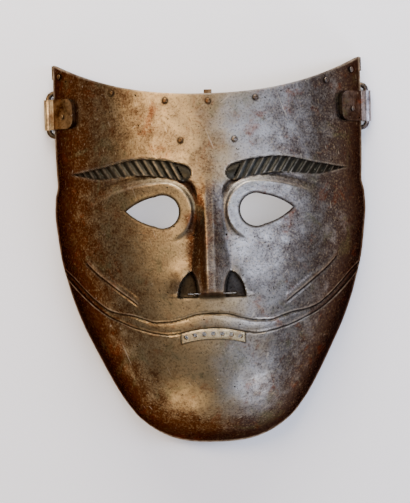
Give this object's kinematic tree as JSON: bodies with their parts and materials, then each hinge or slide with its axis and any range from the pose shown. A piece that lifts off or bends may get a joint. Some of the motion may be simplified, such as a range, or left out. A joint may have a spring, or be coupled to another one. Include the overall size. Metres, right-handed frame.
{
  "type": "steel face mask",
  "caption": "Bowed steel face mask with teardrop eye holes, rope brows, ridged nose, chased moustache, pierced mouth strip and two hinged strap loops.",
  "frame": {"origin": "on the floor at the middle of the mask's length and width, as it lies on its back", "axes": "+Z out of the face, +Y from the chin to the forehead, +X to the right of someone who faces the mask"},
  "size_m": [0.21, 0.244, 0.0834],
  "materials": {
    "patinated_steel": "brown patina, pitted",
    "band_steel": "brown patina",
    "pierced_steel": "worn bright",
    "hinge_steel": "worn, thin patina",
    "loop_wire": "dark wire, rubbed bright on top",
    "rivet_steel": "brown patina"
  },
  "bodies": {
    "mask": {"mask_plate": "patinated_steel", "edge_band": "band_steel", "hanging_tab": "band_steel", "mouth_strip": "pierced_steel", "hinge_leaf_left": "hinge_steel", "hinge_leaf_right": "hinge_steel", "hinge_rivet_left": "rivet_steel", "hinge_rivet_right": "rivet_steel", "forehead_rivet_1": "rivet_steel", "forehead_rivet_2": "rivet_steel", "top_rivet_1": "rivet_steel", "top_rivet_2": "rivet_steel", "top_rivet_3": "rivet_steel", "top_rivet_4": "rivet_steel", "top_rivet_5": "rivet_steel", "top_rivet_6": "rivet_steel", "top_rivet_7": "rivet_steel"},
    "left_loop": {"strap_loop_left": "loop_wire"},
    "right_loop": {"strap_loop_right": "loop_wire"}
  },
  "joints": [
    {"name": "left_loop_swing", "type": "hinge", "parent": "mask", "child": "left_loop", "pos_m": [-0.10211, 0.0903, 0.0029], "axis": [0, 1, 0], "range_deg": [-8, 270]},
    {"name": "right_loop_swing", "type": "hinge", "parent": "mask", "child": "right_loop", "pos_m": [0.10211, 0.0903, 0.0029], "axis": [0, -1, 0], "range_deg": [-8, 270]}
  ]
}
